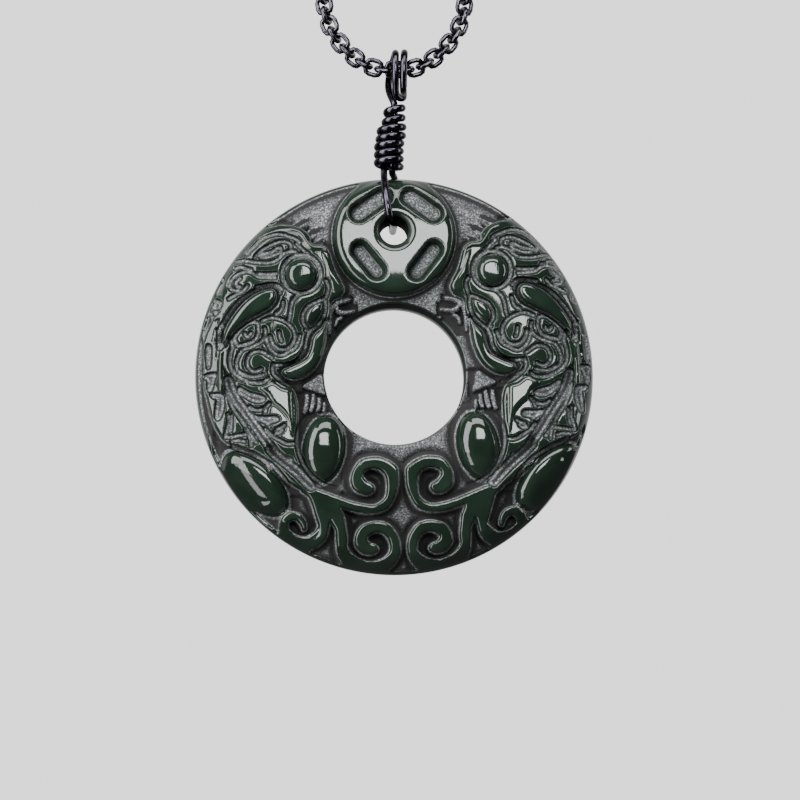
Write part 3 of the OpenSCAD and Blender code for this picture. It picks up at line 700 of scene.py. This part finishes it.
stone_finish = bpy.data.materials.new("dark_green_stone")
stone_finish.use_nodes = True
tree = stone_finish.node_tree
shader = tree.nodes["Principled BSDF"]
place = tree.nodes.new("ShaderNodeTexCoord").outputs["Object"]


def field_of(name):
    """A field of the stone's mesh, for its finish."""
    node = tree.nodes.new("ShaderNodeAttribute")
    node.attribute_name = name
    return node.outputs["Fac"]


def ramp(tree, *stops):
    """A colour ramp by its stops: place, then grey or colour."""
    node = tree.nodes.new("ShaderNodeValToRGB")
    elements = node.color_ramp.elements
    while len(elements) < len(stops):
        elements.new(0.5)
    for element, (at, shade) in zip(elements, stops):
        element.position = at
        element.color = (*shade, 1) if isinstance(shade, tuple) else (shade, shade, shade, 1)
    return node


def arithmetic(tree, operation, b=0.0, c=0.0):
    """One step of arithmetic, with its second and third values."""
    node = tree.nodes.new("ShaderNodeMath")
    node.operation = operation
    node.inputs[1].default_value = b
    node.inputs[2].default_value = c
    return node


form, groove, shade_depth, dull = (field_of(name) for name in ("form", "groove", "shade_depth", "dull"))
# Clouds of lighter green in the polish, the grains of the frosted ground, and hairlines
# left by the polishing
cloud = tree.nodes.new("ShaderNodeTexNoise")
cloud.inputs["Scale"].default_value = 260
cloud.inputs["Detail"].default_value = 4
grit = tree.nodes.new("ShaderNodeTexVoronoi")
grit.inputs["Scale"].default_value = 8000
grain = tree.nodes.new("ShaderNodeSeparateColor")
streak_way = tree.nodes.new("ShaderNodeMapping")
streak_way.inputs["Rotation"].default_value = (0, radians(62), 0)
streak_way.inputs["Scale"].default_value = (1, 1, 0.12)
streaks = tree.nodes.new("ShaderNodeTexNoise")
streaks.inputs["Scale"].default_value = 7000
streaks.inputs["Detail"].default_value = 2
polished_colour = ramp(tree, (0.35, (0.0058, 0.0125, 0.0075)), (0.7, (0.0105, 0.021, 0.0138)))
grit_colour = ramp(
    tree, (0.2, (0.041, 0.0468, 0.0468)), (0.6, (0.117, 0.126, 0.129)),
    (0.85, (0.257, 0.269, 0.275)), (1, (0.491, 0.515, 0.526)))
# Across the forms' edges: a thin frosted outline, then a valley painted dark as painted
# shade, then open ground. Across a groove: frosted floor, a foot painted dark as painted
# shade, polished wall and a faint frosted outline. Wide cuts are darker in the middle.
form_place = arithmetic(tree, "MULTIPLY_ADD", 0.25, 0.5)
ground_frost = ramp(tree, (0.495, 1), (0.505, 0))
valley_shade = ramp(
    tree, (0.05, 1), (0.18, 0.7), (0.3, 0.4), (0.36, 0.03), (0.455, 0.02), (0.475, 0.8), (0.5, 1))
groove_place = arithmetic(tree, "MULTIPLY_ADD", 0.2, 0.5)
groove_frost = ramp(tree, (0.48, 1), (0.53, 0), (0.672, 0), (0.7, 0.4), (0.73, 0))
groove_depth = ramp(tree, (0.488, 0), (0.536, 0.12), (0.64, 0.88), (0.696, 1))
groove_shade = ramp(
    tree, (0.16, 0.08), (0.24, 0.25), (0.31, 0.95), (0.42, 0.85), (0.5, 0.2), (0.6, 0.3),
    (0.68, 1))
# Painted shade: the matt colour is multiplied by the dark of the valleys and groove feet, and
# darkened by up to three tenths the deeper the ground lies
cavity_shade = arithmetic(tree, "MULTIPLY")
frost = arithmetic(tree, "MAXIMUM")
shade = arithmetic(tree, "MULTIPLY_ADD", -0.3, 1.0)
all_shade = arithmetic(tree, "MULTIPLY")
shaded_grit = tree.nodes.new("ShaderNodeMix")
shaded_grit.data_type = "RGBA"
shaded_grit.blend_type = "MULTIPLY"
shaded_grit.inputs["Factor"].default_value = 1
colour = tree.nodes.new("ShaderNodeMix")
colour.data_type = "RGBA"
gloss = arithmetic(tree, "MULTIPLY_ADD", 0.85, 0.06)
gloss_in_holes = arithmetic(tree, "MULTIPLY_ADD", 0.6)
bump = tree.nodes.new("ShaderNodeBump")
bump.inputs["Distance"].default_value = 0.00025
hair = arithmetic(tree, "MULTIPLY", 0.02)
grains = arithmetic(tree, "MULTIPLY", 0.08)
fine_height = tree.nodes.new("ShaderNodeMix")
all_height = arithmetic(tree, "ADD")
link(tree,
     place, cloud,
     place, grit,
     place, streak_way,
     streak_way, streaks,
     cloud, polished_colour,
     grit.outputs["Color"], grain,
     grain, grit_colour,
     form, form_place,
     form_place, ground_frost,
     form_place, valley_shade,
     groove, groove_place,
     groove_place, groove_frost,
     groove_place, groove_depth,
     groove_place, groove_shade,
     ground_frost, frost,
     groove_frost, frost.inputs[1],
     valley_shade, cavity_shade,
     groove_shade, cavity_shade.inputs[1],
     shade_depth, shade,
     cavity_shade, all_shade,
     shade, all_shade.inputs[1],
     grit_colour, shaded_grit.inputs[6],
     all_shade, shaded_grit.inputs[7],
     frost, colour.inputs["Factor"],
     polished_colour, colour.inputs[6],
     shaded_grit.outputs[2], colour.inputs[7],
     colour.outputs[2], shader.inputs["Base Color"],
     frost, gloss,
     dull, gloss_in_holes,
     gloss, gloss_in_holes.inputs[2],
     gloss_in_holes, shader.inputs["Roughness"],
     streaks, hair,
     grain, grains,
     frost, fine_height.inputs["Factor"],
     hair, fine_height.inputs[2],
     grains, fine_height.inputs[3],
     groove_depth, all_height,
     fine_height, all_height.inputs[1],
     all_height, bump.inputs["Height"],
     bump, shader.inputs["Normal"])
shader.inputs["IOR"].default_value = 1.55
stone_mesh.materials.append(stone_finish)

# The drilled walls of the two holes are left dull, and made almost black with a weak
# shine as painted shade inside the holes
drilled_wall_shade = bpy.data.materials.new("drilled_stone_shade")
drilled_wall_shade.use_nodes = True
shader = drilled_wall_shade.node_tree.nodes["Principled BSDF"]
shader.inputs["Base Color"].default_value = (0.006, 0.009, 0.008, 1)
shader.inputs["Roughness"].default_value = 0.75
shader.inputs["IOR"].default_value = 1.15
stone_mesh.materials.append(drilled_wall_shade)
drilled = np.concatenate(stone_dull) > 0.95
for polygon in stone_mesh.polygons:
    if all(drilled[i] for i in polygon.vertices):
        polygon.material_index = 1
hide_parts("disc")
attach(stone, "stone")

# Bail
# One length of 0.9 mm round wire, gunmetal plated: from inside the wraps over the rim,
# through the hanging hole and back up inside the wraps, then twice over the chain.
# Its middle line in millimetres from the middle of the stone:
bail_route = [
    (-0.83, 0, 31.2), (-0.94, 0, 30.35), (-1.17, 0, 29.38), (-1.18, 0, 28.38),
    (-1.18, -0.02, 27.35), (-1.24, -0.2, 26.7), (-1.32, -0.65, 26.15), (-1.36, -1.35, 25.85),
    (-1.38, -2.2, 25.55), (-1.38, -3, 25.05), (-1.35, -3.7, 24.4), (-1.28, -4.4, 23.5),
    (-1.18, -5.1, 22.4), (-1.05, -5.5, 21.4), (-0.9, -5.65, 20.5), (-0.7, -5.4, 19.6),
    (-0.4, -4.4, 19.02), (-0.2, -2.8, 18.9), (-0.1, 0, 18.9), (-0.1, 2.8, 18.9),
    (-0.12, 4.3, 18.98), (-0.15, 5.35, 19.6), (-0.15, 5.75, 20.5), (-0.1, 5.8, 21.6),
    (0, 5.3, 22.9), (0.12, 4.5, 24), (0.2, 3.6, 24.85), (0.12, 2.6, 25.4),
    (-0.08, 1.6, 25.75), (-0.25, 0.8, 25.95), (-0.26, 0.3, 26.3), (-0.24, 0.05, 26.8),
    (-0.22, 0, 27.37), (-0.22, 0, 28.38), (-0.19, 0, 29.38), (0.04, 0, 30.35),
    (0.15, 0, 31.4), (0.06, 0, 32.1), (0, 0, 32.8), (0, 0, 34.4),
    (-0.12, 0.25, 35), (-0.42, 0.85, 35.8), (-0.68, 1.45, 36.7), (-0.72, 1.8, 37.7),
    (-0.58, 1.92, 38.7), (-0.35, 1.8, 39.8), (-0.1, 1.4, 40.6), (0.05, 0.7, 41.1),
    (0.1, 0, 41.2), (0.12, -0.8, 41), (0.1, -1.5, 40.5), (0.08, -1.85, 39.7),
    (0.08, -1.95, 38.8), (0.1, -1.8, 37.7), (0.12, -1.45, 36.7), (0.16, -1.1, 36),
    (0.34, -0.75, 35.5), (0.75, -0.35, 35.35), (1.08, 0.15, 35.5), (1.18, 0.75, 35.9),
    (1.18, 1.35, 36.6), (1.15, 1.75, 37.6), (1.15, 1.95, 38.7), (1.18, 1.8, 39.8),
    (1.22, 1.35, 40.6), (1.25, 0.7, 41.1), (1.26, 0, 41.25), (1.26, -0.8, 41.05),
    (1.22, -1.5, 40.5), (1.16, -1.85, 39.7), (1.14, -1.95, 38.8), (1.12, -1.85, 37.9),
    (1.12, -1.65, 37.2), (1.12, -1.35, 36.6)]

# Plating that is worn in places: colour and roughness for a piece of the wire or chain
plating = bpy.data.node_groups.new("gunmetal_plating", "ShaderNodeTree")
for name, kind in (("Dark", "Color"), ("Light", "Color"), ("Grain", "Float"), ("Sheen", "Float")):
    plating.interface.new_socket(name, in_out="INPUT", socket_type="NodeSocket" + kind)
plating.interface.new_socket("Color", in_out="OUTPUT", socket_type="NodeSocketColor")
plating.interface.new_socket("Roughness", in_out="OUTPUT", socket_type="NodeSocketFloat")
plating.interface.new_socket("Height", in_out="OUTPUT", socket_type="NodeSocketFloat")
given = plating.nodes.new("NodeGroupInput").outputs
result = plating.nodes.new("NodeGroupOutput").inputs
place = plating.nodes.new("ShaderNodeTexCoord").outputs["Object"]
patina = plating.nodes.new("ShaderNodeTexNoise")
patina.inputs["Detail"].default_value = 3
tone = plating.nodes.new("ShaderNodeMix")
tone.data_type = "RGBA"
spread = plating.nodes.new("ShaderNodeMapRange")
spread.inputs["From Min"].default_value = 0.35
spread.inputs["From Max"].default_value = 0.65
unevenness = arithmetic(plating, "MULTIPLY_ADD", 0.2)
link(plating,
     place, patina,
     given["Grain"], patina.inputs["Scale"],
     patina, spread,
     spread, tone.inputs["Factor"],
     given["Dark"], tone.inputs[6],
     given["Light"], tone.inputs[7],
     tone.outputs[2], result["Color"],
     patina, unevenness,
     given["Sheen"], unevenness.inputs[2],
     unevenness, result["Roughness"],
     patina, result["Height"])


def plated(name, dark, light, grain, sheen):
    """A gunmetal finish between two colours, with its grain's scale and its least roughness."""
    material = bpy.data.materials.new(name)
    material.use_nodes = True
    tree = material.node_tree
    shader = tree.nodes["Principled BSDF"]
    shader.inputs["Metallic"].default_value = 1
    coat = tree.nodes.new("ShaderNodeGroup")
    coat.node_tree = plating
    for socket, value in zip(coat.inputs, (dark, light, grain, sheen)):
        socket.default_value = value
    bump = tree.nodes.new("ShaderNodeBump")
    bump.inputs["Distance"].default_value = 0.00001
    link(tree,
         coat.outputs["Color"], shader.inputs["Base Color"],
         coat.outputs["Roughness"], shader.inputs["Roughness"],
         coat.outputs["Height"], bump.inputs["Height"],
         bump, shader.inputs["Normal"])
    return material


wire_finish = plated("gunmetal_wire", (0.025, 0.022, 0.03, 1), (0.06, 0.055, 0.07, 1), 900, 0.08)


def route_tree(name, *inputs):
    """Starts a tree that makes a piece along a route: the tree, its inputs, a smooth curve."""
    tree = bpy.data.node_groups.new(name, "GeometryNodeTree")
    tree.interface.new_socket("Geometry", in_out="OUTPUT", socket_type="NodeSocketGeometry")
    for socket, kind in (("Geometry", "Geometry"), *inputs, ("Finish", "Material")):
        tree.interface.new_socket(socket, in_out="INPUT", socket_type="NodeSocket" + kind)
    given = tree.nodes.new("NodeGroupInput").outputs
    path = tree.nodes.new("GeometryNodeMeshToCurve")
    curved = tree.nodes.new("GeometryNodeCurveSplineType")
    curved.spline_type = "CATMULL_ROM"
    link(tree,
         given["Geometry"], path,
         path, curved)
    return tree, given, curved


def end_tree(tree, given, shape):
    """Ends a tree with real geometry in the piece's own finish."""
    real = tree.nodes.new("GeometryNodeRealizeInstances")
    dressed = tree.nodes.new("GeometryNodeSetMaterial")
    link(tree,
         shape, real,
         real, dressed,
         given["Finish"], dressed.inputs["Material"],
         dressed, tree.nodes.new("NodeGroupOutput"))


# A round wire drawn along a path: the tree the bail and its wraps share
wire_tree, given, curved = route_tree(
    "drawn_wire", ("Radius", "Float"), ("Step", "Float"), ("Sides", "Int"))
even = wire_tree.nodes.new("GeometryNodeResampleCurve")
even.mode = "LENGTH"
section = wire_tree.nodes.new("GeometryNodeCurvePrimitiveCircle")
drawn = wire_tree.nodes.new("GeometryNodeCurveToMesh")
drawn.inputs["Fill Caps"].default_value = True
soft = wire_tree.nodes.new("GeometryNodeSetShadeSmooth")
link(wire_tree,
     curved, even,
     given["Step"], even.inputs["Length"],
     given["Sides"], section.inputs["Resolution"],
     given["Radius"], section.inputs["Radius"],
     even, drawn,
     section, drawn.inputs["Profile Curve"],
     drawn, soft)
end_tree(wire_tree, given, soft)


def made_by_tree(name, route, tree, values):
    """A plain mesh from a tree that follows a route of points in metres."""
    base = bpy.data.meshes.new(name)
    base.from_pydata([tuple(p) for p in route], [(i, i + 1) for i in range(len(route) - 1)], [])
    piece = bpy.data.objects.new(name, base)
    bpy.context.scene.collection.objects.link(piece)
    maker = piece.modifiers.new("maker", "NODES")
    maker.node_group = tree
    for socket, value in values.items():
        maker[tree.interface.items_tree[socket].identifier] = value
    shape = bpy.data.meshes.new_from_object(
        piece.evaluated_get(bpy.context.evaluated_depsgraph_get()))
    piece.modifiers.remove(maker)
    piece.data = shape
    bpy.data.meshes.remove(base)
    return piece


def hung(rows):
    """Rows in millimetres from the middle of the stone, as places in metres."""
    return [Vector((x, y, z)) * 0.001 + STONE_MIDDLE for x, y, z in rows]


bail = made_by_tree("bail", hung(bail_route), wire_tree, {
    "Radius": 0.00045, "Step": 0.00025, "Sides": 20, "Finish": wire_finish})
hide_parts("bail_wire")
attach(bail, "bail")

# Wire wraps
# The same wire wound down over the bail's strands: three tight turns on the neck, the rest
# wider over the strands' ends. It is drawn a little thicker, so that the turns touch.
# Height, place sideways and radius of the coil, one row to a turn:
wrap_rows = np.array([
    (35.1, 0, 0.97), (33.85, 0, 0.97), (32.6, 0, 0.97), (31.4, -0.33, 1.44),
    (30.35, -0.45, 1.44), (29.38, -0.68, 1.44), (28.38, -0.7, 1.44), (27.37, -0.7, 1.44),
    (26.37, -0.72, 1.46), (25.4, -0.75, 1.46)])
POINTS_TO_A_TURN = 24
turns = np.arange(0.1875, 7.44, 1 / POINTS_TO_A_TURN)
wrap_route = []
for turn in turns:
    z, x, r = (np.interp(turn + 0.5, np.arange(len(wrap_rows)), column) for column in wrap_rows.T)
    way = pi - 2 * pi * turn
    wrap_route.append((x + r * sin(way), -r * cos(way), z))
wraps = made_by_tree("wire_wraps", hung(wrap_route), wire_tree, {
    "Radius": 0.0005, "Step": 0.0003, "Sides": 16, "Finish": wire_finish})
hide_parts("wire_wrap")
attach(wraps, "bail")

# Chain
# Square-shouldered gunmetal links of round wire, each turned a quarter from the last, in one
# 600 mm loop with the clasp at the back of the neck.
# Half the loop, sideways and up in millimetres from its lowest point:
half_route = [
    (0, 0), (2.2, 0.1), (4.3, 1), (6.2, 2.6), (7.6, 4.4), (8.5, 6.4), (9, 9),
    (9.3, 13), (10, 18), (11.5, 25), (14, 33.5), (17.5, 44), (22, 57), (27.5, 72),
    (33.5, 88), (40, 105), (46.5, 123), (52.5, 142), (57.5, 161), (60.8, 179),
    (61.8, 193), (60, 207), (55.5, 220), (48, 231.5), (38, 240), (26, 245.5),
    (14, 248), (5.7, 248.5)]
CHAIN_LOW = -0.2485
loop = [(-x, z) for x, z in half_route[:0:-1]] + half_route
chain_route = [Vector((x * 0.001, 0, z * 0.001 + CHAIN_LOW)) for x, z in loop]

# How far the first link is turned about the chain
FIRST_TURN = radians(22)
chain_tree, given, curved = route_tree(
    "linked_chain", ("Links", "Int"), ("Link length", "Float"), ("Link width", "Float"),
    ("Wire radius", "Float"), ("Corner radius", "Float"))
nodes = chain_tree.nodes
fine = nodes.new("GeometryNodeResampleCurve")
fine.inputs["Count"].default_value = 2400
spaced = nodes.new("GeometryNodeResampleCurve")
outline = nodes.new("GeometryNodeCurvePrimitiveQuadrilateral")
bent = nodes.new("GeometryNodeFilletCurve")
bent.mode = "POLY"
bent.inputs["Count"].default_value = 2
section = nodes.new("GeometryNodeCurvePrimitiveCircle")
section.inputs["Resolution"].default_value = 6
link_mesh = nodes.new("GeometryNodeCurveToMesh")
soft = nodes.new("GeometryNodeSetShadeSmooth")
along = nodes.new("GeometryNodeInputTangent")
facing = nodes.new("FunctionNodeAxesToRotation")
facing.primary_axis = "X"
facing.secondary_axis = "Y"
facing.inputs["Secondary Axis"].default_value = (0, 1, 0)
number = nodes.new("GeometryNodeInputIndex")
quarter = arithmetic(chain_tree, "MULTIPLY_ADD", pi / 2, FIRST_TURN)
roll = nodes.new("FunctionNodeAxisAngleToRotation")
roll.inputs["Axis"].default_value = (1, 0, 0)
turned = nodes.new("FunctionNodeRotateRotation")
turned.rotation_space = "LOCAL"
set_links = nodes.new("GeometryNodeInstanceOnPoints")
link(chain_tree,
     curved, fine,
     fine, spaced,
     given["Links"], spaced.inputs["Count"],
     given["Link length"], outline.inputs["Width"],
     given["Link width"], outline.inputs["Height"],
     outline, bent,
     given["Corner radius"], bent.inputs["Radius"],
     bent, link_mesh,
     given["Wire radius"], section.inputs["Radius"],
     section, link_mesh.inputs["Profile Curve"],
     link_mesh, soft,
     along, facing.inputs["Primary Axis"],
     number, quarter,
     quarter, roll.inputs["Angle"],
     facing, turned,
     roll, turned.inputs["Rotate By"],
     spaced, set_links,
     soft, set_links.inputs["Instance"],
     turned, set_links.inputs["Rotation"])
end_tree(chain_tree, given, set_links)

chain_finish = plated("gunmetal_chain", (0.035, 0.032, 0.042, 1), (0.09, 0.085, 0.1, 1), 700, 0.12)
chain = made_by_tree("chain_links", chain_route, chain_tree, {
    "Links": 443, "Link length": 0.00197, "Link width": 0.00184, "Wire radius": 0.00032,
    "Corner radius": 0.0006, "Finish": chain_finish})
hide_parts("chain")
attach(chain, "necklace")

# Clasp
# A plain screw barrel at the back of the neck, turned from the same metal, closed up. The
# chain's last links sit in its two ends.
# Its section, along it and outwards in millimetres:
clasp_profile = [
    (-5.9, 1.02), (-5.86, 1.12), (-4.4, 1.9), (-4.25, 1.96), (-4.1, 1.98), (-0.18, 1.98),
    (-0.1, 1.9), (0.1, 1.9), (0.18, 1.98), (4.1, 1.98), (4.25, 1.96), (4.4, 1.9), (5.86, 1.12),
    (5.9, 1.02), (5.8, 0.95), (4.6, 0.95), (-4.6, 0.95), (-5.8, 0.95)]
clasp_sides = 40
clasp_turns = [2 * pi * k / clasp_sides for k in range(clasp_sides)]
clasp_points = [
    (x * 0.001, r * 0.001 * sin(t), r * 0.001 * cos(t))
    for x, r in clasp_profile for t in clasp_turns]
clasp_faces = []
for i in range(len(clasp_profile)):
    this, after = i * clasp_sides, (i + 1) % len(clasp_profile) * clasp_sides
    for k in range(clasp_sides):
        m = (k + 1) % clasp_sides
        clasp_faces.append((this + k, this + m, after + m, after + k))
clasp_mesh = bpy.data.meshes.new("barrel_clasp")
clasp_mesh.from_pydata(clasp_points, [], clasp_faces)
clasp_mesh.shade_smooth()
clasp_finish = plated("gunmetal_clasp", (0.10, 0.095, 0.11, 1), (0.2, 0.19, 0.22, 1), 500, 0.14)
clasp_mesh.materials.append(clasp_finish)
clasp = bpy.data.objects.new("barrel_clasp", clasp_mesh)
bpy.context.scene.collection.objects.link(clasp)
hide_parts("clasp")
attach(clasp, "necklace")

# Studio
# A pale floor well below the pendant and a pale room. One broad soft lamp high in front, one
# over the top, an upright one at each side for the edges, and a small one low at the left.
FLOOR_Z, FLOOR_HALF = -1.3, 4
# How much brighter than its light on the pieces the room and floor look to the camera
CAMERA_LIGHT = 2.55
floor_mesh = bpy.data.meshes.new("floor")
floor_mesh.from_pydata(
    [(x * FLOOR_HALF, y * FLOOR_HALF, FLOOR_Z) for x, y in ((-1, -1), (1, -1), (1, 1), (-1, 1))],
    [], [(0, 1, 2, 3)])
floor = bpy.data.objects.new("floor", floor_mesh)
bpy.context.scene.collection.objects.link(floor)
paper = bpy.data.materials.new("pale_paper")
paper.use_nodes = True
tree = paper.node_tree
shader = tree.nodes["Principled BSDF"]
shader.inputs["Base Color"].default_value = (0.3, 0.295, 0.3, 1)
shader.inputs["Roughness"].default_value = 0.9
shader.inputs["Emission Color"].default_value = (0.62, 0.61, 0.625, 1)
glow = arithmetic(tree, "MULTIPLY", CAMERA_LIGHT)
link(tree,
     tree.nodes.new("ShaderNodeLightPath").outputs["Is Camera Ray"], glow,
     glow, shader.inputs["Emission Strength"])
floor_mesh.materials.append(paper)


def lamp(name, place, size, brightness, tint=(1, 1, 1)):
    """An area lamp that faces the stone, placed from its middle, by the brightness of its
    face."""
    data = bpy.data.lights.new(name, "AREA")
    data.shape = "RECTANGLE"
    data.size, data.size_y = size
    data.energy = brightness * pi * size[0] * size[1]
    data.color = tint
    light = bpy.data.objects.new(name, data)
    light.location = STONE_MIDDLE + Vector(place)
    light.rotation_euler = (-Vector(place)).to_track_quat("-Z", "Y").to_euler()
    light.visible_camera = False
    bpy.context.scene.collection.objects.link(light)


lamp("window_lamp", (0.045, -0.474, 0.152), (0.22, 0.145), 18, (0.97, 1, 0.99))
lamp("top_lamp", (0.02, -0.18, 0.28), (0.34, 0.16), 8.5, (1, 0.97, 1))
lamp("left_lamp", (-0.27, -0.19, 0.1), (0.24, 0.4), 9.5, (1, 0.98, 1))
lamp("low_lamp", (-0.26, -0.19, -0.17), (0.14, 0.2), 6, (1, 0.98, 1))
lamp("right_lamp", (0.34, -0.01, 0.06), (0.09, 0.3), 6)

# The room is pale wherever the camera sees it, and only its back half lights the pieces
world = bpy.data.worlds.new("room")
world.use_nodes = True
tree = world.node_tree
room = tree.nodes["Background"]
room.inputs["Color"].default_value = (0.7, 0.69, 0.705, 1)
toward = tree.nodes.new("ShaderNodeSeparateXYZ")
behind = tree.nodes.new("ShaderNodeMapRange")
behind.inputs["From Min"].default_value = 0.1
behind.inputs["From Max"].default_value = 0.5
behind.inputs["To Min"].default_value = 0.05
to_camera = arithmetic(tree, "MULTIPLY", CAMERA_LIGHT)
seen = arithmetic(tree, "MAXIMUM")
link(tree,
     tree.nodes.new("ShaderNodeTexCoord").outputs["Generated"], toward,
     toward.outputs["Y"], behind,
     behind, seen,
     tree.nodes.new("ShaderNodeLightPath").outputs["Is Camera Ray"], to_camera,
     to_camera, seen.inputs[1],
     seen, room.inputs["Strength"])
bpy.context.scene.world = world
